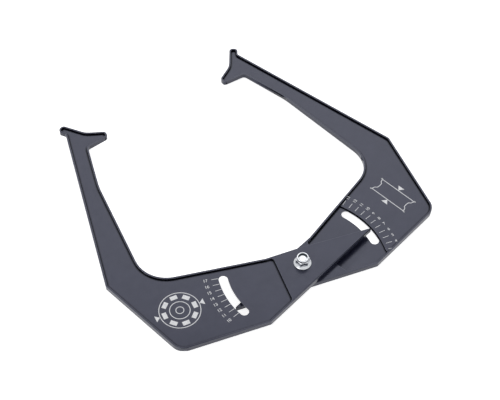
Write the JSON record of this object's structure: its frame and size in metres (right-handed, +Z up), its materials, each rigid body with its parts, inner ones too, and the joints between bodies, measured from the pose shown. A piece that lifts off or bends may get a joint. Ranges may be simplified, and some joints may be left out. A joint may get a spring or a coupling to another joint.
{
  "type": "rim width caliper",
  "caption": "Hinged plastic caliper that reads a wheel rim's width between its toes and its diameter across them, on printed scales swept by pointers.",
  "frame": {"origin": "on the ground below the middle of the outline, where the round head of the bolt rests", "axes": "+Z up along the hinge bolt, +Y from the hinge towards the feet along the tool's line of symmetry, +X towards the lower arm's foot"},
  "size_m": [0.418, 0.3918, 0.0311],
  "materials": {
    "black_plastic": "satin moulded, white printed scales",
    "bright_zinc": "bright zinc plated",
    "grey_nylon": "moulded nylon"
  },
  "bodies": {
    "lower_arm_body": {"lower_arm": "black_plastic", "pivot_bolt": "bright_zinc", "lock_nut": "bright_zinc", "nut_insert": "grey_nylon"},
    "upper_arm_body": {"upper_arm": "black_plastic"}
  },
  "joints": [
    {"name": "arm_hinge", "type": "hinge", "parent": "lower_arm_body", "child": "upper_arm_body", "pos_m": [0, -0.14929, 0.01215], "axis": [0, 0, 1], "range_deg": [-32, 29]}
  ]
}
